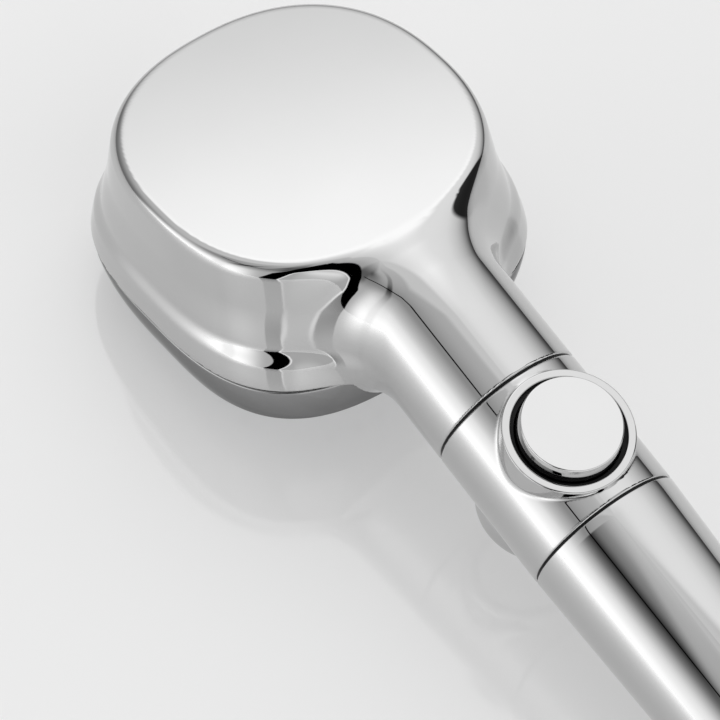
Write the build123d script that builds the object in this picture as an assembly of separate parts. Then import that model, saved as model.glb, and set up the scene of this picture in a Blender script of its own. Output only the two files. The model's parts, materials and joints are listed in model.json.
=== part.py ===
from build123d import *
import math
import os

# Handheld shower head with a push-through stop valve in the handle. Millimetres.
# Everything is built with the handle's axis along X (hose end at +X), the head near the origin and
# the button's axis along Z. At the end the whole object is laid down on the plane z = 0, where the
# far edge of the spray face and the hose end of the handle touch it.

# Head: cross-sections are rounded squares, |x|^n + |y|^n = 1, square to the head's own axis.
# Each level is (half width, exponent, height along the head's axis).
HEAD_TILT = 17.48
HEAD_DROP = 4.9
CROWN = (34.6, 2.26, 9.85)
WAIST = (35.6, 2.67, -2.0)
FLARE = (38.3, 2.9, -11.5)
RIM = (39.4, 2.98, -17.2)
RING_TOP = (39.5, 2.98, -17.5)
RING_MIDDLE = (38.9, 2.98, -23.0)
BASE = (35.85, 2.98, -30.6)
PLAN_EXPONENT = 2.98
WIDTH_RATIO = 0.985
OUTLINE_POINTS = 32
HEAD_WALL = 2.4
RING_WALL = 2.3
RING_HOLE = 33.05
RING_LIP_HALF = 35.0
RING_LIP_TOP = -13.0
RING_GROOVE_BOTTOM = -25.0
BASE_ROUND = 0.9
RING_GAP = 0.2

# Spray unit, heights along the head's axis.
PLATE_BOTTOM = -30.0
PLATE_TOP = -28.0
PLATE_HALF = 32.9
MAT_TOP = -26.8
MAT_HALF = 32.3
COVER_INSIDE = -22.5
COVER_TOP = -20.0
COVER_HALF = 31.6
COVER_WALL = 1.8
NOZZLE_RINGS = ((8.5, 8), (13.5, 12), (18.5, 20), (23.5, 28), (28.2, 32))
OUTER_NOZZLE_HALF = 28.0
NOZZLE_BASE_RADIUS = 1.15
NOZZLE_TIP_RADIUS = 0.8
NOZZLE_BORE = 0.4
NOZZLE_PROUD = 0.45
NOZZLE_HOLE = 1.2
SCREW_CIRCLE = 29.8
SCREW_COUNT = 4
SCREW_RADIUS = 1.1
SCREW_TIP = -26.0
SCREW_HEAD_RADIUS = 1.9
SCREW_HEAD_HEIGHT = 1.6
SCREW_BOSS = 2.0
CORNER_CLEAR = 12
SHELL_BOSS = 4.2
CENTER_SCREW = 2.0
CENTER_SCREW_TOP = -9.0
CENTER_HEAD_RADIUS = 3.6
CENTER_HEAD_BOTTOM = -28.6
CENTER_HEAD_TOP = -26.2
CENTER_BOSS = 7.0
CENTER_BOSS_TOP = -24.0
CAP_RADIUS = 5.4
CAP_TOP = -28.8
FIT_GAP = 0.1

# Handle, stations from the origin along the handle's axis.
HANDLE_RADIUS = 15.8
NECK_BORE = 12.9
NECK_START = 4.0
NECK_BORE_START = 20.0
SEAM_1 = 65.8
SEAM_2 = 95.7
SEAM_HALF_GAP = 0.2
SEAM_RING_RADIUS = 15.45
TAPER = ((151.4, 13.84), (204.0, 12.3))
SLEEVE_BORE = ((95.9, 12.9), (106.0, 12.9), (150.0, 11.7), (184.0, 10.9), (184.0, 10.0), (204.0, 10.0))

# Stop valve, heights from the handle's axis.
BUTTON_STATION = 80.2
BUTTON_RADIUS = 9.95
BUTTON_FACE = 19.1
BUTTON_DEPTH = 7.0
BUTTON_WALL = 1.6
BUTTON_BOSS = 5.6
BUTTON_EDGE = 0.7
FRONT_FACE = -17.2
TRAVEL = 3.4
COLLAR_RADIUS = 12.6
COLLAR_TOP = 15.7
COLLAR_BORE = 11.15
COLLAR_EDGE = 0.3
BOSS_BOTTOM = -17.5
GUIDE_RADIUS = 11.1
GUIDE_BORE = 10.2
GUIDE_DROP = 0.7
REAR_POCKET = 8.2
FRONT_POCKET = -9.9
SPOOL_RADIUS = 6.25
SPOOL_BORE = 6.3
SPOOL_ENDS = (-9.0, 9.8)
SPOOL_STEM = 4.0
WAIST_RADIUS = 3.4
WAIST_HALF_HEIGHT = 1.7
SPOOL_SEALS = (6.0, -4.0)
SPOOL_SEAL_SEAT = SPOOL_RADIUS - FIT_GAP / 2
PORT_HEIGHT = 3.0
PORT_WIDTH = 8.0
HOUSING_BORE = 13.2
BODY_RADIUS = 13.1
BODY_ENDS = (66.3, 95.2)
SPIGOT_RADIUS = 12.7
SPIGOT_ENDS = (57.0, 104.2)
SPIGOT_SEALS = (61.0, 100.0)

# Water way.
PIPE_RADIUS = 6.0
PIPE_BORE = 4.3
PIPE_PORT = 14.0
PIPE_FOOT = -21.5
PIPE_BEND = 9.0
PIPE_END = 70.0
PIPE_SOCKET = 8.4
PIPE_SOCKET_TOP = -14.0
PIPE_SEAL_HEIGHT = -17.0
PIPE_SEAL_STATION = 63.0
TUBE_RADIUS = 7.0
TUBE_BORE = 5.2
TUBE_ENDS = (92.2, 192.0)
TUBE_SEALS = (98.0, 189.0)
SEAL_SECTION = 0.5
JOINT_SEAL_SECTION = 0.9
SEAL_SIDE_GAP = 0.2
CONNECTOR_START = 186.0
CONNECTOR_RADIUS = 9.9
CONNECTOR_SEAL = 197.0
FLANGE_RADIUS = 11.3
FLANGE_THICKNESS = 1.0
THREAD_RADIUS = 10.478
THREAD_LENGTH = 10.5
INLET_BORE = 8.0
INLET_BORE_START = 203.0
MOUTH_BORE = 8.3
MOUTH_START = 207.6
INSERT_RADIUS = 7.9
REGULATOR_SPAN = (203.2, 206.2)
REGULATOR_HOLES = 6
REGULATOR_HOLE = 1.1
REGULATOR_CIRCLE = 4.6
FILTER_SPAN = (206.4, 207.4)

HEAD = Pos(0, 0, -HEAD_DROP) * Rot(0, -HEAD_TILT, 0)
SLEEVE_END, SLEEVE_END_RADIUS = TAPER[-1]
THREAD_START = SLEEVE_END + FLANGE_THICKNESS
THREAD_END = THREAD_START + THREAD_LENGTH


def reach(half, exponent, angle):
    """Distance from the head's axis to a rounded square, at an angle in radians."""
    cosine = abs(math.cos(angle))
    sine = abs(math.sin(angle))
    return half * (cosine ** exponent + sine ** exponent) ** (-1 / exponent)


def outline(half, exponent, height):
    """Rounded square at a height on the head's axis, as a face."""
    points = []
    for i in range(OUTLINE_POINTS):
        angle = 2 * math.pi * i / OUTLINE_POINTS
        length = reach(half, exponent, angle)
        points.append((length * math.cos(angle), WIDTH_RATIO * length * math.sin(angle)))
    return HEAD * Pos(0, 0, height) * make_face(Spline(points, periodic=True))


def head_solid(levels, inset=0.0):
    """Smooth solid through levels of the head, made smaller by inset all round."""
    return loft([outline(half - inset, exponent, height) for half, exponent, height in levels])


def head_disc(half, bottom, top):
    """Straight-sided plate of the head's plan."""
    return head_solid([(half, PLAN_EXPONENT, bottom), (half, PLAN_EXPONENT, top)])


def post(radius, bottom, top, x=0.0, y=0.0):
    """Round bar along the head's axis."""
    return HEAD * Pos(x, y, (bottom + top) / 2) * Cylinder(radius, top - bottom)


def rod(radius, start, end):
    """Round bar along the handle."""
    return Pos((start + end) / 2, 0, 0) * Rot(0, 90, 0) * Cylinder(radius, end - start)


def plug(radius, bottom, top):
    """Round bar along the button's axis."""
    return Pos(BUTTON_STATION, 0, (bottom + top) / 2) * Cylinder(radius, top - bottom)


def o_ring(radius, section):
    """Seal round Z that lies in a groove cut in a bar of the given radius."""
    return Torus(radius + FIT_GAP / 2 - section, section)


def groove(radius, section):
    """Ring that cuts the groove of an o_ring."""
    width = 2 * section + 2 * SEAL_SIDE_GAP
    inner = radius + FIT_GAP / 2 - 2 * section
    return Cylinder(radius + 1, width) - Cylinder(inner, width)


def along_handle(station):
    return Pos(station, 0, 0) * Rot(0, 90, 0)


def screw_places():
    """Where the chamber screws stand, in the corners of the head's plan."""
    turn = 2 * math.pi / SCREW_COUNT
    angles = [turn * (i + 0.5) for i in range(SCREW_COUNT)]
    return [(SCREW_CIRCLE * math.cos(a), SCREW_CIRCLE * math.sin(a)) for a in angles]


def nozzle_places():
    """Nozzles on rounded squares; the outer ones leave the screw corners free."""
    places = []
    for half, count in NOZZLE_RINGS:
        for i in range(count):
            angle = 2 * math.pi * (i + 0.5) / count
            from_corner = abs(math.degrees(angle) % 90 - 45)
            if half > OUTER_NOZZLE_HALF and from_corner < CORNER_CLEAR:
                continue
            length = reach(half, PLAN_EXPONENT, angle)
            places.append((length * math.cos(angle), length * math.sin(angle)))
    return places


def above_crown(drop=0.0):
    """Everything above the plane of the crown, or of a plane drop below it."""
    depth = 60
    return HEAD * Pos(40, 0, CROWN[2] - drop + depth / 2) * Box(240, 120, depth)


def ring_space():
    """Room for the face ring and all it holds, which the neck keeps clear of."""
    return head_solid([BASE, RING_MIDDLE, RIM], -RING_GAP)


def back_shell():
    levels = [RIM, FLARE, WAIST, CROWN]
    neck = rod(HANDLE_RADIUS, NECK_START, SEAM_1 - SEAM_HALF_GAP) - above_crown() - ring_space()
    inner_crown = (CROWN[0], CROWN[1], CROWN[2] - HEAD_WALL)
    cavity = head_solid([RIM, FLARE, WAIST, inner_crown], HEAD_WALL)
    bore = rod(NECK_BORE, NECK_BORE_START, SEAM_1) - above_crown(HEAD_WALL)
    boss = post(SHELL_BOSS, COVER_TOP + FIT_GAP, inner_crown[2] + FIT_GAP)
    screw_hole = post(CENTER_SCREW, COVER_TOP, CENTER_SCREW_TOP)
    return head_solid(levels) + neck - cavity - bore + boss - screw_hole


def face_ring():
    outer = head_solid([BASE, RING_MIDDLE, RING_TOP])
    outer = fillet(outer.edges().sort_by(Axis.Z)[0], BASE_ROUND)
    lip = head_disc(RING_LIP_HALF, RING_MIDDLE[2], RING_LIP_TOP)
    groove_foot = (BASE[0] + RING_WALL, PLAN_EXPONENT, RING_GROOVE_BOTTOM)
    trough = head_solid([groove_foot, RING_TOP], RING_WALL)
    trough -= head_disc(RING_LIP_HALF, BASE[2], RING_LIP_TOP)
    return outer - trough + lip - head_disc(RING_HOLE, BASE[2] - 1, RING_LIP_TOP + 1)


def face_plate():
    plate = head_disc(PLATE_HALF, PLATE_BOTTOM, PLATE_TOP)
    plate += post(CENTER_BOSS, PLATE_BOTTOM, CENTER_BOSS_TOP)
    plate -= post(CAP_RADIUS + FIT_GAP, PLATE_BOTTOM, CAP_TOP)
    plate -= post(CENTER_HEAD_RADIUS + FIT_GAP, CAP_TOP, CENTER_HEAD_TOP)
    plate -= post(CENTER_SCREW + FIT_GAP, CENTER_HEAD_TOP, CENTER_BOSS_TOP)
    for x, y in screw_places():
        plate += post(SCREW_BOSS, PLATE_TOP, COVER_INSIDE, x, y)
        plate -= post(SCREW_RADIUS, SCREW_TIP, COVER_INSIDE, x, y)
    return plate - [post(NOZZLE_HOLE, PLATE_BOTTOM, PLATE_TOP, x, y) for x, y in nozzle_places()]


def nozzle_mat():
    mat = head_disc(MAT_HALF, PLATE_TOP, MAT_TOP) - post(CENTER_BOSS + FIT_GAP, PLATE_TOP, MAT_TOP)
    mat -= [post(SCREW_BOSS + FIT_GAP, PLATE_TOP, MAT_TOP, x, y) for x, y in screw_places()]
    tip = PLATE_BOTTOM - NOZZLE_PROUD
    length = PLATE_TOP - tip
    nozzle = Pos(0, 0, tip + length / 2) * Cone(NOZZLE_TIP_RADIUS, NOZZLE_BASE_RADIUS, length)
    mat += [HEAD * Pos(x, y, 0) * nozzle for x, y in nozzle_places()]
    return mat - [post(NOZZLE_BORE, tip, MAT_TOP, x, y) for x, y in nozzle_places()]


def center_cap():
    return post(CAP_RADIUS, PLATE_BOTTOM, CAP_TOP)


def center_screw():
    head = post(CENTER_HEAD_RADIUS, CENTER_HEAD_BOTTOM, CENTER_HEAD_TOP)
    return head + post(CENTER_SCREW, CENTER_HEAD_TOP, CENTER_SCREW_TOP)


def chamber_cover():
    cover = head_disc(COVER_HALF, MAT_TOP, COVER_TOP)
    cover -= head_disc(COVER_HALF - COVER_WALL, MAT_TOP, COVER_INSIDE)
    cover += post(CENTER_BOSS, CENTER_BOSS_TOP, COVER_TOP)
    cover += post(PIPE_SOCKET, COVER_TOP, PIPE_SOCKET_TOP, PIPE_PORT)
    cover -= post(PIPE_RADIUS + FIT_GAP, PIPE_FOOT, PIPE_SOCKET_TOP, PIPE_PORT)
    cover -= post(PIPE_BORE, COVER_INSIDE, PIPE_FOOT, PIPE_PORT)
    cover -= post(CENTER_SCREW + FIT_GAP, CENTER_BOSS_TOP, COVER_TOP)
    return cover - [post(SCREW_RADIUS + FIT_GAP, COVER_INSIDE, COVER_TOP, x, y) for x, y in screw_places()]


def chamber_screws():
    screws = []
    for x, y in screw_places():
        head = post(SCREW_HEAD_RADIUS, COVER_TOP, COVER_TOP + SCREW_HEAD_HEIGHT, x, y)
        screws.append(head + post(SCREW_RADIUS, SCREW_TIP, COVER_TOP, x, y))
    return Compound(children=screws)


def pipe_route():
    """Line of the pipe: up along the head's axis, round one bend, then along the handle."""
    foot = (HEAD * Pos(PIPE_PORT, 0, PIPE_FOOT)).position
    upward = (HEAD * Pos(PIPE_PORT, 0, PIPE_FOOT + 1)).position - foot
    corner = foot + upward * (-foot.Z / upward.Z)
    return FilletPolyline(foot, corner, (PIPE_END, 0, 0), radius=PIPE_BEND)


def tube_along(route, radius):
    start = Plane(origin=route @ 0, z_dir=route % 0)
    return sweep(start * Circle(radius), path=route)


def pipe_grooves():
    at_head = HEAD * Pos(PIPE_PORT, 0, PIPE_SEAL_HEIGHT) * groove(PIPE_RADIUS, SEAL_SECTION)
    at_valve = along_handle(PIPE_SEAL_STATION) * groove(PIPE_RADIUS, SEAL_SECTION)
    return at_head + at_valve


def head_water_pipe():
    route = pipe_route()
    return tube_along(route, PIPE_RADIUS) - tube_along(route, PIPE_BORE) - pipe_grooves()


def pipe_head_seal():
    return HEAD * Pos(PIPE_PORT, 0, PIPE_SEAL_HEIGHT) * o_ring(PIPE_RADIUS, SEAL_SECTION)


def pipe_valve_seal():
    return along_handle(PIPE_SEAL_STATION) * o_ring(PIPE_RADIUS, SEAL_SECTION)


def valve_housing():
    shell = rod(HANDLE_RADIUS, SEAM_1 + SEAM_HALF_GAP, SEAM_2 - SEAM_HALF_GAP)
    collar = chamfer(plug(COLLAR_RADIUS, 0, COLLAR_TOP).edges().sort_by(Axis.Z)[-1], COLLAR_EDGE)
    boss = chamfer(plug(COLLAR_RADIUS, BOSS_BOTTOM, 0).edges().sort_by(Axis.Z)[0], COLLAR_EDGE)
    shell = shell + collar + boss - rod(HOUSING_BORE, SEAM_1, SEAM_2)
    return shell - plug(COLLAR_BORE, BOSS_BOTTOM - 1, COLLAR_TOP + 1)


def valve_body():
    block = rod(BODY_RADIUS, *BODY_ENDS) + rod(SPIGOT_RADIUS, *SPIGOT_ENDS)
    block -= [along_handle(station) * groove(SPIGOT_RADIUS, JOINT_SEAL_SECTION) for station in SPIGOT_SEALS]
    block -= rod(PIPE_RADIUS + FIT_GAP, SPIGOT_ENDS[0], PIPE_END)
    block -= rod(TUBE_RADIUS + FIT_GAP, TUBE_ENDS[0], SPIGOT_ENDS[1])
    port_length = TUBE_ENDS[0] - PIPE_END
    block -= Pos(PIPE_END + port_length / 2, 0, 0) * Box(port_length, PORT_WIDTH, PORT_HEIGHT)
    block -= plug(SPOOL_BORE, FRONT_POCKET, REAR_POCKET)
    block -= plug(COLLAR_BORE, REAR_POCKET, COLLAR_TOP)
    return block - plug(COLLAR_BORE, BOSS_BOTTOM, FRONT_POCKET)


def valve_spool():
    bottom, top = SPOOL_ENDS
    spool = plug(SPOOL_RADIUS, bottom, top)
    spool += plug(SPOOL_STEM, FRONT_FACE + BUTTON_WALL, BUTTON_FACE - BUTTON_WALL)
    waist = Cylinder(SPOOL_RADIUS + 1, 2 * WAIST_HALF_HEIGHT) - Cylinder(WAIST_RADIUS, 2 * WAIST_HALF_HEIGHT)
    spool -= Pos(BUTTON_STATION, 0, 0) * waist
    return spool - [Pos(BUTTON_STATION, 0, z) * groove(SPOOL_SEAL_SEAT, SEAL_SECTION) for z in SPOOL_SEALS]


def spool_seals():
    rings = [Pos(BUTTON_STATION, 0, z) * o_ring(SPOOL_SEAL_SEAT, SEAL_SECTION) for z in SPOOL_SEALS]
    return Compound(children=rings)


def button(face, inward):
    """Cup with a rounded face edge, and a socket for the spool's stem; inward is -1 or 1 along Z."""
    back = face + inward * BUTTON_DEPTH
    ceiling = face + inward * BUTTON_WALL
    low, high = sorted((face, back))
    cup = plug(BUTTON_RADIUS, low, high)
    face_edge = cup.edges().sort_by(Axis.Z)[0 if inward > 0 else -1]
    cup = fillet(face_edge, BUTTON_EDGE)
    low, high = sorted((ceiling, back))
    hollow = plug(BUTTON_RADIUS - BUTTON_WALL, low, high) - plug(BUTTON_BOSS, low, high)
    return cup - hollow - plug(SPOOL_STEM, low, high)


def rear_button():
    return button(BUTTON_FACE, -1)


def front_button():
    return button(FRONT_FACE, 1)


def guide_ring(bottom, top):
    return plug(GUIDE_RADIUS, bottom, top) - plug(GUIDE_BORE, bottom, top)


def rear_guide_ring():
    return guide_ring(REAR_POCKET + FIT_GAP, COLLAR_TOP - GUIDE_DROP)


def front_guide_ring():
    return guide_ring(BOSS_BOTTOM + GUIDE_DROP, FRONT_POCKET - FIT_GAP)


def joint_seal(station):
    return along_handle(station) * o_ring(SPIGOT_RADIUS, JOINT_SEAL_SECTION)


def seam_ring(seam):
    start = seam - SEAM_HALF_GAP
    end = seam + SEAM_HALF_GAP
    return rod(SEAM_RING_RADIUS, start, end) - rod(SPIGOT_RADIUS + FIT_GAP, start, end)


def handle_sleeve():
    start = (SEAM_2 + SEAM_HALF_GAP, HANDLE_RADIUS)
    taper = Spline(start, *TAPER)
    bore = Polyline(*SLEEVE_BORE)
    front_face = Line(start, SLEEVE_BORE[0])
    end_face = Line(TAPER[-1], SLEEVE_BORE[-1])
    half_section = Rot(90, 0, 0) * make_face([taper, bore, front_face, end_face])
    return revolve(half_section, Axis.X)


def handle_water_tube():
    tube = rod(TUBE_RADIUS, *TUBE_ENDS) - rod(TUBE_BORE, *TUBE_ENDS)
    return tube - [along_handle(station) * groove(TUBE_RADIUS, SEAL_SECTION) for station in TUBE_SEALS]


def tube_seal(station):
    return along_handle(station) * o_ring(TUBE_RADIUS, SEAL_SECTION)


def inlet_connector():
    connector = rod(CONNECTOR_RADIUS, CONNECTOR_START, SLEEVE_END)
    connector += rod(FLANGE_RADIUS, SLEEVE_END, THREAD_START)
    connector += rod(THREAD_RADIUS, THREAD_START, THREAD_END)
    connector -= along_handle(CONNECTOR_SEAL) * groove(CONNECTOR_RADIUS, SEAL_SECTION)
    connector -= rod(TUBE_RADIUS + FIT_GAP, CONNECTOR_START, TUBE_ENDS[1] + FIT_GAP)
    connector -= rod(TUBE_BORE, TUBE_ENDS[1], INLET_BORE_START)
    connector -= rod(INLET_BORE, INLET_BORE_START, MOUTH_START)
    return connector - rod(MOUTH_BORE, MOUTH_START, THREAD_END)


def connector_seal():
    return along_handle(CONNECTOR_SEAL) * o_ring(CONNECTOR_RADIUS, SEAL_SECTION)


def flow_regulator():
    disc = rod(INSERT_RADIUS, *REGULATOR_SPAN)
    for i in range(REGULATOR_HOLES):
        turn = Rot(360 * i / REGULATOR_HOLES, 0, 0)
        disc -= turn * Pos(0, 0, REGULATOR_CIRCLE) * rod(REGULATOR_HOLE, *REGULATOR_SPAN)
    return disc


def inlet_filter():
    return rod(INSERT_RADIUS, *FILTER_SPAN)


def make_nodes():
    """Every node of the object, before it is laid down."""
    return {
        "back_shell": back_shell(),
        "face_ring": face_ring(),
        "face_plate": face_plate(),
        "nozzle_mat": nozzle_mat(),
        "center_cap": center_cap(),
        "center_screw": center_screw(),
        "chamber_cover": chamber_cover(),
        "chamber_screws": chamber_screws(),
        "head_water_pipe": head_water_pipe(),
        "pipe_head_seal": pipe_head_seal(),
        "pipe_valve_seal": pipe_valve_seal(),
        "valve_housing": valve_housing(),
        "valve_body": valve_body(),
        "valve_spool": valve_spool(),
        "spool_seals": spool_seals(),
        "rear_button": rear_button(),
        "front_button": front_button(),
        "rear_guide_ring": rear_guide_ring(),
        "front_guide_ring": front_guide_ring(),
        "neck_joint_seal": joint_seal(SPIGOT_SEALS[0]),
        "handle_joint_seal": joint_seal(SPIGOT_SEALS[1]),
        "front_seam_ring": seam_ring(SEAM_1),
        "rear_seam_ring": seam_ring(SEAM_2),
        "handle_sleeve": handle_sleeve(),
        "handle_water_tube": handle_water_tube(),
        "tube_front_seal": tube_seal(TUBE_SEALS[0]),
        "tube_rear_seal": tube_seal(TUBE_SEALS[1]),
        "inlet_connector": inlet_connector(),
        "connector_seal": connector_seal(),
        "flow_regulator": flow_regulator(),
        "inlet_filter": inlet_filter(),
    }


def lay_down(nodes):
    """Place that rests the far edge of the face and the end of the sleeve on z = 0."""
    far_edge = (HEAD * Pos(-BASE[0], 0, BASE[2])).position
    run = SLEEVE_END - far_edge.X
    rise = -SLEEVE_END_RADIUS - far_edge.Z
    tilt = Rot(0, math.degrees(math.atan2(rise, run)), 0)
    boxes = [(tilt * part).bounding_box() for part in nodes.values()]
    low_x = min(box.min.X for box in boxes)
    high_x = max(box.max.X for box in boxes)
    low_z = min(box.min.Z for box in boxes)
    return Pos(-(low_x + high_x) / 2, 0, -low_z) * tilt


def main():
    os.makedirs("parts", exist_ok=True)
    nodes = make_nodes()
    place = lay_down(nodes)
    for name, part in nodes.items():
        export_step(place * part, f"parts/{name}.step")
    thread_middle = (place * Pos((THREAD_START + THREAD_END) / 2, 0, 0)).position
    handle_axis = (place * Pos(1, 0, 0)).position - place.position
    button_axis = (place * Pos(0, 0, 1)).position - place.position
    print("thread middle", thread_middle, "handle axis", handle_axis, "button axis", button_axis)
    print("button travel", TRAVEL)


main()
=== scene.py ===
import json
import math
import bpy
import numpy as np
from mathutils import Matrix, Vector


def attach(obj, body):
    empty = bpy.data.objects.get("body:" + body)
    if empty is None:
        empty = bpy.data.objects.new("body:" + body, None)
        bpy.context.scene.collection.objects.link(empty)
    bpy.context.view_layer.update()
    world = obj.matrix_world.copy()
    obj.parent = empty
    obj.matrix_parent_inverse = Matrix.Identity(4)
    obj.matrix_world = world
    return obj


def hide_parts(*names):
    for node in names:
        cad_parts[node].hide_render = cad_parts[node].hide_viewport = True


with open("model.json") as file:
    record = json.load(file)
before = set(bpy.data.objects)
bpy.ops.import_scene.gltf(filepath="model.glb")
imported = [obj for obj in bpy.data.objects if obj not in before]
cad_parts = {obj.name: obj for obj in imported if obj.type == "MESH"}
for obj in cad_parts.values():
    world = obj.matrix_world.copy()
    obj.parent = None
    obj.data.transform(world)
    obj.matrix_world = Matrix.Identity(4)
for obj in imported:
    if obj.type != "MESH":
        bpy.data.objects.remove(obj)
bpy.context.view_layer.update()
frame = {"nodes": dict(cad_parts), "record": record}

# Shapes are worked out in millimetres in the handle's own frame: X along the handle towards the
# hose, Z along the button, the origin on the handle's axis under the middle of the head.
MM = 0.001
HANDLE_R = 15.8
SEAM_1 = 65.8
SEAM_2 = 95.7
SEAM_GAP = 0.2
SLEEVE_END = 204.0
THREAD_START = 205.0
THREAD_LENGTH = 10.5
THREAD_R = 10.478
THREAD_PITCH = 1.814

# The head, in heights along its own axis
HEAD_TILT = math.radians(17.48)
HEAD_DROP = 4.9
HEAD_X = np.array([math.cos(HEAD_TILT), 0.0, math.sin(HEAD_TILT)])
HEAD_N = np.array([-math.sin(HEAD_TILT), 0.0, math.cos(HEAD_TILT)])
HEAD_O = np.array([0.0, 0.0, -HEAD_DROP])
CROWN_Z = 9.85
CROWN_HALF = 34.95
CROWN_POWER = 2.26
CROWN_DOME = 0.00025
RIM_Z = -17.05
RIM_POWER = 2.98
RIM_REACH = 1.2
RING_TOP_Z = -17.65
RING_HALF = 39.4
BASE_Z = -30.6
BASE_HALF = 35.85
WIDTH_RATIO = 0.985
WALL = 2.4
WALL_DRAFT = 0.085
TOP_LEAN = 1.0
TOP_LEAN_DEPTH = 3.2
# (height where it starts, depth, widening)
FLARES = [(0.0, 10.0, 0.8), (-8.3, 4.0, 0.95), (-9.0, 8.0, 0.6)]
NECK_START = 5.0
NECK_BLEND = 9.0
NECK_BLEND_GAIN = 2.2

# The button's section of the handle
STATION = 80.2
COLLAR_R = 12.6
COLLAR_HOLE_R = 10.97
COLLAR_TOP = 15.95
LIP_COVER = 0.15
BOSS_R = 12.6
BOSS_BOTTOM = -17.5
BORE_R = 13.2
BUTTON_HOLE_R = 11.2
BUTTON_R = 9.95
REAR_FACE_Z = 19.1
FRONT_FACE_Z = -17.2


def handle_frame():
    """Matrix from the handle's frame, in millimetres, to the row frame, in metres."""
    thread = next(m for m in frame["record"]["mounts"] if m["name"] == "hose_thread")
    along = Vector(thread["axis"]).normalized()
    across = Vector((0, 1, 0))
    up = along.cross(across)
    middle = THREAD_START + THREAD_LENGTH / 2
    origin = Vector(thread["pos_m"]) - along * middle * MM
    turn = Matrix((along, across, up)).transposed().to_4x4()
    return Matrix.Translation(origin) @ turn @ Matrix.Scale(MM, 4)


PLACE = handle_frame()


# ---------------------------------------------------------------- fields of distance

def soft_min(a, b, reach):
    h = np.maximum(reach - np.abs(a - b), 0) / reach
    return np.minimum(a, b) - h * h * reach / 4


def soft_max(a, b, reach):
    return -soft_min(-a, -b, reach)


def ease(t):
    t = np.clip(t, 0, 1)
    return t * t * (3 - 2 * t)


def on_head(p):
    """Points in the head's own axes: along the handle, across, along the head's axis."""
    q = p - HEAD_O
    return q @ HEAD_X, q[..., 1], q @ HEAD_N


def half_width(z):
    """Half width of the head: a drafted wall, a crisp flare to the rim, then the ring's taper."""
    wall = CROWN_HALF + WALL_DRAFT * (CROWN_Z - z)
    for start, depth, widening in FLARES:
        wall = wall + widening * ease((start - z) / depth)
    wall = wall - TOP_LEAN * np.clip((z - CROWN_Z) / TOP_LEAN_DEPTH + 1, 0, 1) ** 2
    drop = np.clip((RING_TOP_Z - z) / (RING_TOP_Z - BASE_Z), 0, 1)
    ring = RING_HALF - (RING_HALF - BASE_HALF) * drop ** 1.6
    return np.where(z > RING_TOP_Z, wall, ring)


def side_wall(x, y, z):
    """Distance outside the head's side, whose plan turns squarer towards the rim."""
    z = np.clip(z, BASE_Z, CROWN_Z)
    down = np.clip((CROWN_Z - z) / (CROWN_Z - RIM_Z), 0.001, 1)
    power = CROWN_POWER + (RIM_POWER - CROWN_POWER) * down ** 0.7
    y = y / WIDTH_RATIO
    r = np.sqrt(x * x + y * y) + 1e-9
    reach = half_width(z) * (np.abs(x / r) ** power + np.abs(y / r) ** power) ** (-1 / power)
    slope = 0.97
    return slope * (r - reach)


def tube(p, radius):
    return np.sqrt(p[..., 1] ** 2 + p[..., 2] ** 2) - radius


def round_bar(p, radius):
    """Distance from the button's axis, less a radius."""
    return np.sqrt((p[..., 0] - STATION) ** 2 + p[..., 1] ** 2) - radius


def back_shell_field(p):
    """Head and neck in one skin: the crown runs into the top of the neck."""
    x, y, z = on_head(p)
    side = side_wall(x, y, z)
    neck = np.maximum(tube(p, HANDLE_R), NECK_START - p[..., 0])
    body = soft_min(side, neck, NECK_BLEND + NECK_BLEND_GAIN * ease((4 - z) / 10))
    to_neck = ease((p[..., 0] - 24) / 10)
    edge_drop = 0.15 * (1 - to_neck) * np.clip(1 + side / 1.4, 0, 1) ** 2
    crown = z - CROWN_Z + CROWN_DOME * (x * x + y * y) + edge_drop
    edge_round = 1.0 + 3.7 * to_neck
    body = soft_max(body, crown, edge_round)
    skin = np.abs(body + WALL / 2) - WALL / 2
    below_rim = RIM_Z - z
    ring_gap = 0.2
    fillet_width = 4.6
    off_neck = np.maximum(ring_gap - side, tube(p, HANDLE_R + fillet_width))
    skin = soft_max(skin, np.minimum(below_rim, off_neck), 0.3)
    return soft_max(skin, p[..., 0] - (SEAM_1 - SEAM_GAP), 0.5)


def valve_housing_field(p):
    """Middle section: tube, collar under its lip, boss on the spray side, and the hole through."""
    z = p[..., 2]
    middle = (SEAM_1 + SEAM_2) / 2
    half = (SEAM_2 - SEAM_1) / 2 - SEAM_GAP
    body = soft_max(tube(p, HANDLE_R), np.abs(p[..., 0] - middle) - half, 0.5)
    collar = soft_max(round_bar(p, COLLAR_R - LIP_COVER), z - (COLLAR_TOP - 0.4), 0.4)
    boss = soft_max(round_bar(p, BOSS_R), BOSS_BOTTOM - z, 2.5)
    root = 2.0
    body = soft_min(body, soft_max(collar, root - z, 0.5), 0.7)
    body = soft_min(body, soft_max(boss, root + z, 0.5), 1.6)
    body = soft_max(body, -tube(p, BORE_R), 0.3)
    return soft_max(body, -round_bar(p, BUTTON_HOLE_R), 0.5)


# ---------------------------------------------------------------- meshes

def gradient(field, p, reach=0.01):
    parts = []
    for axis in range(3):
        step = np.zeros(3)
        step[axis] = reach
        parts.append((field(p + step) - field(p - step)) / (2 * reach))
    return np.stack(parts, -1)


def pull_on(field, p, limit, rounds):
    """Newton steps that move points on to the surface where the field is zero."""
    for _ in range(rounds):
        g = gradient(field, p)
        size = np.maximum((g * g).sum(-1), 0.05)
        move = field(p)[:, None] * g / size[:, None]
        p = p - np.clip(move, -limit, limit)
    return p


def net_corners(value):
    n = [s - 1 for s in value.shape]
    corners = []
    for dx in (0, 1):
        for dy in (0, 1):
            for dz in (0, 1):
                corners.append(value[dx:n[0] + dx, dy:n[1] + dy, dz:n[2] + dz])
    return corners


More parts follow.
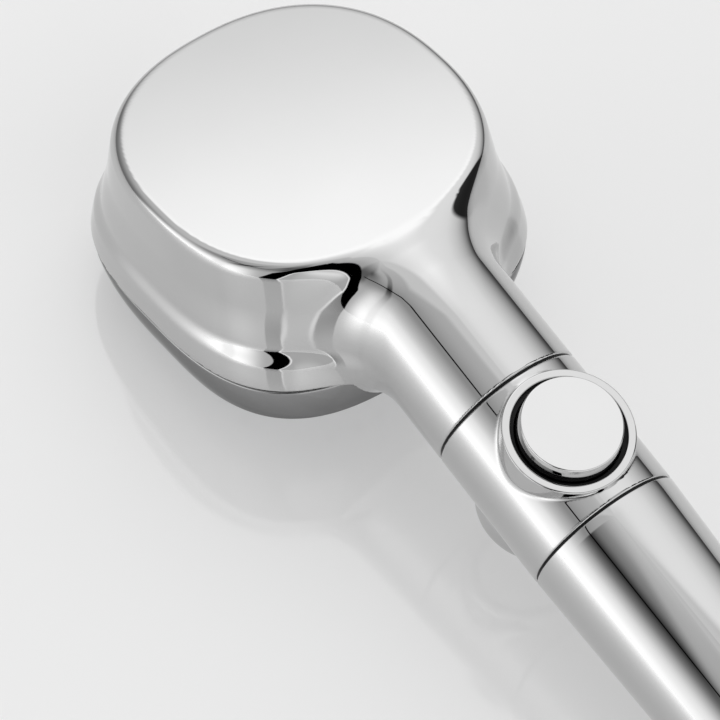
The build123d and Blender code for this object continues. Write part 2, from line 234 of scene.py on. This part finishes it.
def net_points(value, active):
    """One point in each active cell, at the mean of its edge crossings, in grid steps."""
    cell = np.argwhere(active)
    corner = np.array([(dx, dy, dz) for dx in (0, 1) for dy in (0, 1) for dz in (0, 1)])
    v = np.stack([c[active] for c in net_corners(value)], -1)
    total = np.zeros((len(cell), 3))
    count = np.zeros(len(cell))
    for i in range(8):
        for j in range(i + 1, 8):
            if np.abs(corner[i] - corner[j]).sum() != 1:
                continue
            cross = (v[:, i] < 0) != (v[:, j] < 0)
            t = v[cross, i] / (v[cross, i] - v[cross, j])
            total[cross] += corner[i] + t[:, None] * (corner[j] - corner[i])
            count[cross] += 1
    return cell + total / count[:, None]


def net_quads(inside, index):
    """Quads round every grid edge that crosses the surface."""
    quads = []
    for axis in range(3):
        a = np.moveaxis(inside, axis, 0)
        idx = np.moveaxis(index, axis, 0)
        start = a[:-1, 1:-1, 1:-1]
        end = a[1:, 1:-1, 1:-1]
        i, j, k = np.nonzero(start != end)
        ring = [idx[i, j, k], idx[i, j + 1, k], idx[i, j + 1, k + 1], idx[i, j, k + 1]]
        quad = np.stack(ring, -1)
        flip = start[i, j, k] == (axis == 1)
        quad[flip] = quad[flip][:, ::-1]
        quads.append(quad)
    return np.concatenate(quads)


def relax(points, quads, field, step, rounds=2):
    """Evens out the net along the surface, away from the rim where the grid is finer."""
    edges = np.concatenate([quads[:, [i, (i + 1) % 4]] for i in range(4)])
    edges = np.concatenate([edges, edges[:, ::-1]])
    for _ in range(rounds):
        total = np.zeros_like(points)
        count = np.zeros(len(points))
        np.add.at(total, edges[:, 0], points[edges[:, 1]])
        np.add.at(count, edges[:, 0], 1)
        from_rim = np.abs(on_head(points)[2] - RIM_Z)
        loose = 0.5 * ease((from_rim - 0.8) / 0.8)
        points = points + loose[:, None] * (total / count[:, None] - points)
        points = pull_on(field, points, step / 2, 2)
    return points


def field_piece(name, field, low, high, step, material, lay=None):
    """Mesh of the surface where a field is zero, with the field's own normals.

    lay turns grid places into the handle's frame, so that flat cuts can lie along the grid.
    """
    lay = lay or (lambda p: p)
    axes = [np.arange(low[i], high[i] + step, step) for i in range(3)]
    value = np.empty([len(a) for a in axes])
    for i, x in enumerate(axes[0]):
        sheet = np.stack(np.meshgrid([x], axes[1], axes[2], indexing="ij"), -1)
        value[i] = field(lay(sheet))[0]
    inside = value < 0
    count = sum(c.astype(np.int8) for c in net_corners(inside))
    active = (count > 0) & (count < 8)
    index = np.full(active.shape, -1)
    index[active] = np.arange(active.sum())
    points = lay(np.array(low) + step * net_points(value, active))
    quads = net_quads(inside, index)
    points = pull_on(field, points, step / 2, 4)
    points = relax(points, quads, field, step)
    normals = gradient(field, points)
    normals /= np.linalg.norm(normals, axis=-1, keepdims=True)
    return make_piece(name, points, quads, material, normals)


def make_piece(name, points, faces, material, normals=None, sharp=None):
    """Object from points in the handle's frame; with normals, or smooth up to a sharp angle."""
    mesh = bpy.data.meshes.new(name)
    mesh.from_pydata(np.asarray(points).tolist(), [], [list(map(int, f)) for f in faces])
    mesh.transform(PLACE)
    mesh.shade_smooth()
    if sharp is not None:
        mesh.set_sharp_from_angle(angle=math.radians(sharp))
    if normals is not None:
        turn = np.array(PLACE.to_3x3().normalized())
        mesh.normals_split_custom_set_from_vertices((normals @ turn.T).tolist())
    mesh.materials.append(material)
    piece = bpy.data.objects.new(name, mesh)
    bpy.context.scene.collection.objects.link(piece)
    return piece


def closed_strip(rows, columns):
    """Quads of a tube of points whose rows and columns both close on themselves."""
    faces = []
    for r in range(rows):
        for c in range(columns):
            d = (c + 1) % columns
            s = (r + 1) % rows
            faces.append((r * columns + c, r * columns + d, s * columns + d, s * columns + c))
    return faces


def arc(cx, cy, radius, start, end, steps):
    """Points of an arc, angles in degrees."""
    angles = [math.radians(start + (end - start) * i / steps) for i in range(steps + 1)]
    return [(cx + radius * math.cos(a), cy + radius * math.sin(a)) for a in angles]


def line(a, b, steps):
    shares = [i / steps for i in range(steps + 1)]
    return [(a[0] + (b[0] - a[0]) * t, a[1] + (b[1] - a[1]) * t) for t in shares]


def lathe(name, profile, place, material, segments=192, sharp=30):
    """Turned piece from a closed (radius, height) profile, the axis along Z of place."""
    angles = [2 * math.pi * i / segments for i in range(segments)]
    points = [place @ Vector((r * math.cos(a), r * math.sin(a), h)) for r, h in profile for a in angles]
    faces = closed_strip(len(profile), segments)
    return make_piece(name, [tuple(p) for p in points], faces, material, sharp=sharp)


ALONG = Matrix.Rotation(math.radians(90), 4, "Y")
BUTTON_AXIS = Matrix.Translation((STATION, 0, 0))


# ---------------------------------------------------------------- materials

def node(tree, kind, inputs=None, **settings):
    """Adds a shader node; inputs are values or sockets by name or number."""
    made = tree.nodes.new(kind)
    for key, value in settings.items():
        setattr(made, key, value)
    for key, value in (inputs or {}).items():
        if isinstance(value, bpy.types.NodeSocket):
            tree.links.new(value, made.inputs[key])
        else:
            made.inputs[key].default_value = value
    return made


def math_node(tree, operation, a, b=0.0, c=0.0):
    return node(tree, "ShaderNodeMath", {0: a, 1: b, 2: c}, operation=operation).outputs[0]


def new_material(name):
    material = bpy.data.materials.new(name)
    material.use_nodes = True
    tree = material.node_tree
    return material, tree, tree.nodes["Principled BSDF"]


def noise(tree, scale, detail=4.0, distortion=0.0):
    place = node(tree, "ShaderNodeTexCoord").outputs["Object"]
    inputs = {"Vector": place, "Scale": scale, "Detail": detail, "Distortion": distortion}
    return node(tree, "ShaderNodeTexNoise", inputs).outputs["Fac"]


def spread(tree, value, low, high):
    inputs = {"Value": value, "From Min": 0.3, "From Max": 0.7, "To Min": low, "To Max": high}
    return node(tree, "ShaderNodeMapRange", inputs).outputs["Result"]


def bump(tree, shader, height, strength, distance):
    made = node(tree, "ShaderNodeBump", {"Height": height, "Strength": strength, "Distance": distance})
    tree.links.new(made.outputs["Normal"], shader.inputs["Normal"])


def chrome(name, tint, rough_low, rough_high, ripple, glancing=1.0):
    """Bright plating: even tint, faint haze patches, and a very fine ripple in the surface.

    glancing below 1 makes it duller where it is seen edge on.
    """
    material, tree, shader = new_material(name)
    shader.inputs["Specular Tint"].default_value = (glancing, glancing, glancing, 1)
    shader.inputs["Metallic"].default_value = 1.0
    shade = node(tree, "ShaderNodeMix", {"Factor": spread(tree, noise(tree, 60.0), 0, 1)}, data_type="RGBA")
    shade.inputs[6].default_value = (*tint, 1)
    shade.inputs[7].default_value = (*[0.985 * c for c in tint], 1)
    tree.links.new(shade.outputs[2], shader.inputs["Base Color"])
    haze = spread(tree, noise(tree, 35.0, 6.0, 0.4), rough_low, rough_high)
    tree.links.new(haze, shader.inputs["Roughness"])
    bump(tree, shader, noise(tree, 900.0, 2.0), ripple, 0.00001)
    return material


def moulded(name, dark, light, rough, scale, grain, specular=0.5, metallic=0.0):
    """Moulded plastic, rubber or satin metal: mottled colour, uneven gloss and a fine grain."""
    material, tree, shader = new_material(name)
    shader.inputs["Specular IOR Level"].default_value = specular
    shader.inputs["Metallic"].default_value = metallic
    mottle = spread(tree, noise(tree, scale), 0, 1)
    shade = node(tree, "ShaderNodeMix", {"Factor": mottle}, data_type="RGBA")
    shade.inputs[6].default_value = (*dark, 1)
    shade.inputs[7].default_value = (*light, 1)
    tree.links.new(shade.outputs[2], shader.inputs["Base Color"])
    gloss = spread(tree, noise(tree, scale * 2.3), rough - 0.06, rough + 0.06)
    tree.links.new(gloss, shader.inputs["Roughness"])
    bump(tree, shader, noise(tree, scale * 12, 6.0), grain, 0.0001)
    return material


def make_materials():
    grey = (0.55, 0.55, 0.55)
    # Painted shade: the face ring's chrome gets a darker tint and is duller seen edge on, standing for the
    # shadowed floor that it reflects.
    painted_shade_tint = (0.34, 0.34, 0.342)
    bright = (0.62, 0.62, 0.62)
    brass = (0.52, 0.52, 0.515)
    made = {
        "chrome_shell": chrome("bright_chrome", grey, 0.015, 0.035, 0.02),
        # face ring: chrome darkened as painted shade (darker tint, duller edge-on reflection)
        "face_ring": chrome("ring_chrome_painted_shade", painted_shade_tint, 0.02, 0.05, 0.02, 0.55),
        "chrome_button": chrome("button_chrome", bright, 0.015, 0.04, 0.02),
        "chrome_brass": chrome("connector_chrome", brass, 0.06, 0.14, 0.08),
    }
    # slot: name, darker and lighter colour, roughness, mottle scale, grain, specular, metallic
    rows = {
        "face_grey": ("face_plastic", (0.36, 0.37, 0.385), (0.40, 0.41, 0.425), 0.30, 90, 0.05),
        "silicone": ("nozzle_silicone", (0.055, 0.06, 0.066), (0.075, 0.08, 0.088), 0.45, 160, 0.10),
        "white_plastic": ("white_plastic", (0.74, 0.74, 0.72), (0.80, 0.80, 0.78), 0.42, 110, 0.08),
        "black_plastic": ("black_plastic", (0.004, 0.004, 0.0045), (0.008, 0.008, 0.0085), 0.38, 120, 0.10,
                          0.15),
        "regulator_plastic": ("regulator_plastic", (0.02, 0.10, 0.30), (0.03, 0.13, 0.36), 0.40, 120, 0.08),
        "seal_rubber": ("seal_rubber", (0.012, 0.012, 0.012), (0.022, 0.022, 0.022), 0.62, 180, 0.15),
        "screw_steel": ("screw_steel", (0.50, 0.50, 0.50), (0.60, 0.60, 0.60), 0.30, 200, 0.08, 0.5, 1.0),
        "filter_steel": ("filter_steel", (0.42, 0.42, 0.42), (0.55, 0.55, 0.55), 0.34, 260, 0.10, 0.5, 1.0),
    }
    for slot, row in rows.items():
        made[slot] = moulded(*row)
    return made


MATERIAL = make_materials()


def dress_cad_nodes():
    """Gives every CAD node the material of its slot."""
    for part in frame["record"]["subparts"]:
        mesh = frame["nodes"][part["node"]].data
        mesh.materials.clear()
        mesh.materials.append(MATERIAL[part["material_slot"]])


def settle(piece, body, node_name):
    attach(piece, body)
    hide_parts(node_name)


# ---------------------------------------------------------------- pieces

def skewed(p):
    """From (along the handle, across, height along the head's axis) to the handle's frame.

    Heights are drawn together at the rim, so that its edge gets a finer net.
    """
    above = p[..., 2] - RIM_Z
    draw = 0.85
    height = RIM_Z + above - draw * RIM_REACH * np.tanh(above / RIM_REACH)
    rise = height + math.sin(HEAD_TILT) * p[..., 0]
    return np.stack([p[..., 0], p[..., 1], rise / math.cos(HEAD_TILT) - HEAD_DROP], -1)


def back_shell():
    """The grid has half steps at the rim, the neck's end and the middle, so cuts fall inside cells."""
    step = 0.6
    low = (SEAM_1 - SEAM_GAP - 174.5 * step, -67.5 * step, RIM_Z - 24.5 * step)
    high = (SEAM_1 + step, 67.5 * step, CROWN_Z + RIM_REACH + 2 * step)
    material = MATERIAL["chrome_shell"]
    piece = field_piece("back_shell_skin", back_shell_field, low, high, step, material, skewed)
    settle(piece, "body", "back_shell")


def valve_housing():
    step = 0.4
    low = (SEAM_1 + SEAM_GAP - 2.5 * step, -42.5 * step, BOSS_BOTTOM - 2.5 * step)
    high = (SEAM_2 + step, 42.5 * step, HANDLE_R + 0.7)
    material = MATERIAL["chrome_shell"]
    piece = field_piece("valve_housing_skin", valve_housing_field, low, high, step, material)
    settle(piece, "body", "valve_housing")


def collar_lip():
    """Crisp flat rim of the collar; its foot follows the handle's wall."""
    outer_round = 0.3
    hole_round = 0.2
    rim = arc(COLLAR_R - outer_round, COLLAR_TOP - outer_round, outer_round, 0, 90, 6)
    rim += line((COLLAR_R - outer_round, COLLAR_TOP), (COLLAR_HOLE_R + hole_round, COLLAR_TOP), 4)[1:-1]
    rim += arc(COLLAR_HOLE_R + hole_round, COLLAR_TOP - hole_round, hole_round, 90, 180, 6)
    columns = 192
    sunk = 1.0
    points = []
    for r, z in [(COLLAR_R, None)] + rim + [(COLLAR_HOLE_R, None)]:
        for c in range(columns):
            angle = 2 * math.pi * c / columns
            foot = math.sqrt(HANDLE_R ** 2 - (COLLAR_R * math.sin(angle)) ** 2) - sunk
            points.append((STATION + r * math.cos(angle), r * math.sin(angle), foot if z is None else z))
    faces = closed_strip(len(rim) + 2, columns)
    piece = make_piece("valve_housing_collar_lip", points, faces, MATERIAL["chrome_shell"], sharp=40)
    settle(piece, "body", "valve_housing")


def ring_profile():
    """Closed (half width, height) outline of the face ring's wall, from the seam down."""
    shoulder = 0.4
    heights = np.linspace(RING_TOP_Z - shoulder, BASE_Z + 1.2, 24)
    outer = [(float(half_width(np.float64(z))), z) for z in heights]
    seam_edge = arc(outer[0][0] - shoulder, RING_TOP_Z - shoulder, shoulder, 90, 0, 6)[:-1]
    foot_round = arc(BASE_HALF - 1.0, BASE_Z + 1.0, 1.0, 0, -90, 8)
    inner = [(33.4, BASE_Z), (33.15, BASE_Z + 0.1), (33.05, BASE_Z + 0.3)]
    inner += [(33.05, -13.1), (33.2, -13.0), (34.9, -13.0)]
    groove = [(35.0, -13.1), (35.0, -24.8), (36.6, -24.8), (36.9, RING_TOP_Z - 0.1), (37.0, RING_TOP_Z)]
    return seam_edge + outer + foot_round + inner + groove


def face_ring():
    columns = 288
    points = []
    for half, height in ring_profile():
        for c in range(columns):
            angle = 2 * math.pi * c / columns
            x = math.cos(angle)
            y = math.sin(angle)
            reach = half * (abs(x) ** RIM_POWER + abs(y) ** RIM_POWER) ** (-1 / RIM_POWER)
            local = HEAD_O + HEAD_X * reach * x + HEAD_N * height
            points.append((local[0], WIDTH_RATIO * reach * y, local[2]))
    faces = closed_strip(len(ring_profile()), columns)
    # The ring's darker chrome material is painted shade for the shadowed floor it reflects.
    piece = make_piece("face_ring_skin", points, [f[::-1] for f in faces], MATERIAL["face_ring"], sharp=35)
    settle(piece, "body", "face_ring")


def sleeve_radius(x):
    """Outer radius of the tapered handle section: a straight taper that eases off towards the hose."""
    straight_end = 151.4
    taper = 1.96
    bow = 0.26
    far = np.clip((x - SEAM_2) / (straight_end - SEAM_2), 0, 10)
    return HANDLE_R - taper * far + bow * np.maximum(far - 1, 0) ** 2


def handle_sleeve():
    start = SEAM_2 + SEAM_GAP
    stations = np.linspace(start + 0.35, SLEEVE_END - 0.8, 60)
    outer = [(float(sleeve_radius(x)), float(x)) for x in stations]
    near_edge = [(HANDLE_R - 0.4, start), (HANDLE_R - 0.16, start + 0.06), (HANDLE_R - 0.05, start + 0.17)]
    end_radius = outer[-1][0]
    far_edge = arc(end_radius - 0.8, SLEEVE_END - 0.8, 0.8, 0, 90, 8)[1:]
    bore = [(10.3, SLEEVE_END), (10.05, SLEEVE_END - 0.2), (10.0, 184.0), (10.9, 184.0)]
    bore += [(12.4, 106.0), (12.9, 106.0), (12.9, start + 0.1), (13.0, start)]
    profile = near_edge + outer + far_edge + bore
    piece = lathe("handle_sleeve_skin", profile, ALONG, MATERIAL["chrome_shell"])
    settle(piece, "body", "handle_sleeve")


def button_profile():
    """Cup with a flat face, a crisp edge, a tapered skirt and a socket for the spool's stem; face at 0."""
    edge = 0.25
    top_radius = 9.6
    face = [(0.02, 0.0), (3.0, 0.0), (6.0, 0.0), (8.6, -0.01)]
    rim = arc(top_radius - edge, -edge - 0.02, edge, 90, 12, 8)
    skirt = [(BUTTON_R - 0.02, -1.75), (BUTTON_R, -1.9)]
    skirt += line((BUTTON_R, -2.2), (BUTTON_R, -6.8), 4)
    inner = [(9.8, -7.0), (8.4, -7.0), (8.35, -1.7), (8.2, -1.6)]
    socket = [(5.7, -1.6), (5.6, -1.7), (5.6, -7.0), (4.0, -7.0), (4.0, -1.6), (0.02, -1.6)]
    return face + rim + skirt + inner + socket


def buttons():
    face = BUTTON_AXIS @ Matrix.Translation((0, 0, REAR_FACE_Z))
    rear = lathe("rear_button_skin", button_profile(), face, MATERIAL["chrome_button"], 160, 35)
    settle(rear, "spool", "rear_button")
    turned = Matrix.Rotation(math.pi, 4, "X")
    face = BUTTON_AXIS @ Matrix.Translation((0, 0, FRONT_FACE_Z)) @ turned
    front = lathe("front_button_skin", button_profile(), face, MATERIAL["chrome_button"], 160, 35)
    settle(front, "spool", "front_button")


def thread_radius(angle, height):
    """Crest and root of a single-start thread with rounded flanks, fading out at both ends."""
    crest = 0.14
    flank_width = 0.66
    depth = 1.16
    phase = ((height / THREAD_PITCH - angle / (2 * math.pi)) % 1.0) * 2 - 1
    flank = min(max((abs(phase) - crest) / flank_width, 0.0), 1.0)
    fade = min(height / 1.2, (THREAD_LENGTH - height) / 1.0, 1.0)
    lead = max(1.0 - fade, 0.0)
    return THREAD_R - depth * max(flank, lead * 0.9)


def inlet_connector():
    """Turned connector: socket end, flange, and a real helix for the hose thread."""
    segments = 128
    rows = 96
    outer = [(9.6, 186.0, 0), (9.9, 186.3, 0), (9.9, 203.9, 0), (11.0, 203.95, 0), (11.3, 204.15, 0)]
    outer += [(11.3, 204.8, 0), (11.1, 205.0, 0)]
    for i in range(rows + 1):
        outer.append((None, THREAD_START, THREAD_LENGTH * i / rows))
    end = THREAD_START + THREAD_LENGTH
    bore = [(8.2, end, 0), (8.0, end - 0.2, 0), (8.0, 203.0, 0), (5.2, 203.0, 0), (5.2, 192.1, 0)]
    bore += [(7.1, 192.1, 0), (7.1, 186.3, 0), (7.4, 186.0, 0)]
    points = []
    for radius, x, height in outer + bore:
        for i in range(segments):
            angle = 2 * math.pi * i / segments
            r = thread_radius(angle, height) if radius is None else radius
            points.append((x + (height if radius is None else 0), r * math.cos(angle), r * math.sin(angle)))
    faces = closed_strip(len(outer) + len(bore), segments)
    faces = [f[::-1] for f in faces]
    piece = make_piece("inlet_connector_turned", points, faces, MATERIAL["chrome_brass"], sharp=32)
    settle(piece, "body", "inlet_connector")


# ---------------------------------------------------------------- studio

def studio_floor():
    """Pale semi-gloss sheet on a light table: part of its light comes from below."""
    half = 3.0
    mesh = bpy.data.meshes.new("floor")
    corners = [(-half, -half, 0), (half, -half, 0), (half, half, 0), (-half, half, 0)]
    mesh.from_pydata(corners, [], [(0, 1, 2, 3)])
    floor = bpy.data.objects.new("floor", mesh)
    bpy.context.scene.collection.objects.link(floor)
    material, tree, shader = new_material("floor_sheet")
    shader.inputs["Base Color"].default_value = (0.60, 0.60, 0.60, 1)
    shader.inputs["Emission Color"].default_value = (1, 1, 1, 1)
    shader.inputs["Emission Strength"].default_value = 0.30
    shader.inputs["IOR"].default_value = 1.6
    tree.links.new(spread(tree, noise(tree, 6.0), 0.06, 0.09), shader.inputs["Roughness"])
    mesh.materials.append(material)


# The walls of the light tent, each a list of (elevation in degrees, radiance). SECTORS lists them
# round the tent as (first azimuth, softness of the change, wall). Azimuth is 0 beyond the hose end
# and grows towards the far side; the camera stands on the near side, at about -90.
LEFT_WALL = [(-90, 0.5), (-5, 0.5), (2, 0.22), (12, 0.25), (25, 0.45), (38, 0.75), (60, 0.95), (90, 1.0)]
NEAR_STRIP = [(-90, 0.5), (-8, 1.5), (0, 1.9), (6, 1.85), (12, 1.62), (20, 1.38), (25, 1.1), (30, 0.88),
              (35, 0.72), (40, 0.56), (45, 0.40), (52, 0.48), (60, 0.6), (68, 0.68), (80, 0.75), (90, 1.0)]
NEAR_GAP = [(-90, 0.5), (-8, 1.3), (0, 1.7), (8, 1.55), (15, 1.45), (21, 1.2), (26, 0.95), (32, 0.62),
            (38, 0.3), (45, 0.12), (50, 0.02), (55, 0.18), (60, 0.3), (69, 0.44), (76, 0.65),
            (84, 0.85), (90, 1.0)]
NEAR_END = [(-90, 0.5), (-8, 0.7), (0, 0.75), (10, 0.75), (20, 0.7), (26, 0.66), (32, 0.58), (40, 0.44),
            (50, 0.34), (60, 0.2), (66, 0.1), (72, 0.35), (80, 0.6), (90, 1.0)]
SIDE_WALL = [(-90, 0.5), (-8, 0.6), (0, 0.65), (25, 0.7), (33, 0.45), (42, 0.2), (62, 0.12),
             (75, 0.4), (90, 1.0)]
RIGHT_WALL = [(-90, 0.5), (-5, 0.8), (5, 1.0), (20, 1.1), (30, 1.35), (38, 1.1), (50, 0.75), (62, 0.6),
              (75, 0.55), (90, 1.0)]
RIGHT_FLAG = [(-90, 0.4), (-8, 0.1), (0, 0.02), (40, 0.02), (52, 0.15), (62, 0.7), (75, 0.95), (90, 1.0)]
FAR_PANEL = [(-90, 0.4), (-12, 0.45), (-4, 0.1), (0, 0.03), (5, 0.15), (11, 0.4), (19, 0.66), (28, 0.92),
             (36, 1.07), (43, 1.22), (56, 1.32), (70, 1.32), (76, 1.28), (82, 1.15), (90, 1.0)]
FAR_WINDOW = [(-90, 0.45), (-5, 0.5), (0, 0.3), (15, 0.8), (28, 1.0), (34, 1.15), (40, 1.75), (50, 1.8),
              (62, 1.6), (68, 1.45), (78, 1.2), (90, 1.0)]
SECTORS = [(-132, 10, NEAR_STRIP), (-95, 2, NEAR_GAP), (-87, 2, NEAR_STRIP), (-72, 11, NEAR_END),
           (-57, 4, SIDE_WALL), (-36, 5, RIGHT_WALL), (63, 4, RIGHT_FLAG), (84, 3, FAR_PANEL),
           (132, 12, FAR_WINDOW), (170, 10, LEFT_WALL)]


def ramp(tree, height, stops):
    """Radiance against elevation."""
    top = 2.0
    made = node(tree, "ShaderNodeValToRGB", {"Fac": height})
    made.color_ramp.interpolation = "B_SPLINE"
    elements = made.color_ramp.elements
    while len(elements) < len(stops):
        elements.new(0.5)
    for element, (degrees, level) in zip(elements, stops):
        element.position = (degrees + 90) / 180
        element.color = (level / top, level / top, level / top, 1)
    return math_node(tree, "MULTIPLY", made.outputs["Color"], top)


def aim(azimuth, elevation):
    a = math.radians(azimuth)
    e = math.radians(elevation)
    return (math.cos(e) * math.cos(a), math.cos(e) * math.sin(a), math.sin(e))


def soft_step(tree, value, start, end):
    inputs = {"Value": value, "From Min": start, "From Max": end, "To Min": 0.0, "To Max": 1.0}
    made = node(tree, "ShaderNodeMapRange", inputs, interpolation_type="SMOOTHSTEP")
    return made.outputs["Result"]


def window(tree, value, centre, half, soft):
    """1 within half of centre, falling to 0 over soft."""
    away = math_node(tree, "ABSOLUTE", math_node(tree, "SUBTRACT", value, centre))
    return soft_step(tree, away, half + soft, half)


def blend(tree, factor, a, b):
    made = node(tree, "ShaderNodeMix", {"Factor": factor}, data_type="FLOAT")
    for socket, value in ((2, a), (3, b)):
        if isinstance(value, bpy.types.NodeSocket):
            tree.links.new(value, made.inputs[socket])
        else:
            made.inputs[socket].default_value = value
    return made.outputs[0]


def towards(tree, direction, azimuth, elevation):
    """How far a direction leans towards another, as their dot product."""
    inputs = {0: direction, 1: aim(azimuth, elevation)}
    return node(tree, "ShaderNodeVectorMath", inputs, operation="DOT_PRODUCT").outputs["Value"]


def edges(tree, direction, azimuth, elevation, level):
    """Black strut that arches overhead, with a white edge, and a thin black rail."""
    across = towards(tree, direction, -147, 15.6)
    near = soft_step(tree, towards(tree, direction, -60, 0), -0.06, -0.01)
    trim = math_node(tree, "MULTIPLY", window(tree, across, -0.122, 0.012, 0.01), near)
    level = blend(tree, trim, level, 1.3)
    strut = math_node(tree, "MULTIPLY", window(tree, across, -0.01, 0.095, 0.02), near)
    along_rail = window(tree, azimuth, -84, 32, 2)
    rail = math_node(tree, "MULTIPLY", along_rail, window(tree, elevation, 49.5, 0.6, 0.6))
    return blend(tree, math_node(tree, "MAXIMUM", strut, rail), level, 0.0)


def studio_light():
    """A light tent: a low strip light on the near side, large soft panels on the far side."""
    world = bpy.data.worlds.new("light_tent")
    bpy.context.scene.world = world
    world.use_nodes = True
    tree = world.node_tree
    direction = node(tree, "ShaderNodeTexCoord").outputs["Generated"]
    axis = node(tree, "ShaderNodeSeparateXYZ", {0: direction}).outputs
    azimuth = math_node(tree, "MULTIPLY", math_node(tree, "ARCTAN2", axis[1], axis[0]), 180 / math.pi)
    elevation = math_node(tree, "MULTIPLY", math_node(tree, "ARCSINE", axis[2]), 180 / math.pi)
    height = math_node(tree, "MULTIPLY_ADD", elevation, 1 / 180, 0.5)
    level = ramp(tree, height, LEFT_WALL)
    for start, soft, stops in SECTORS:
        turn = soft_step(tree, azimuth, start - soft, start + soft)
        level = blend(tree, turn, level, ramp(tree, height, stops))
    level = edges(tree, direction, azimuth, elevation, level)
    tree.links.new(level, tree.nodes["Background"].inputs["Color"])


def camera():
    """Long lens over the near side of the handle, fitted to the product view."""
    data = bpy.data.cameras.new("camera")
    data.lens = 159.82
    data.sensor_width = 36.0
    data.clip_start = 0.05
    data.clip_end = 20.0
    made = bpy.data.objects.new("camera", data)
    bpy.context.scene.collection.objects.link(made)
    position = Vector((219.9, -230.1, 534.6))
    right = Vector((0.5864, 0.8005, 0.1236))
    up = Vector((-0.7546, 0.4843, 0.4430))
    turn = Matrix((right, up, right.cross(up))).transposed().to_4x4()
    unit = PLACE.to_3x3().normalized().to_4x4()
    made.matrix_world = Matrix.Translation(PLACE @ position) @ unit @ turn
    bpy.context.scene.camera = made


def main():
    camera()
    studio_floor()
    studio_light()
    dress_cad_nodes()
    back_shell()
    valve_housing()
    collar_lip()
    face_ring()
    handle_sleeve()
    buttons()
    inlet_connector()
    bpy.context.scene.view_settings.view_transform = "Standard"
    bpy.context.view_layer.update()


main()
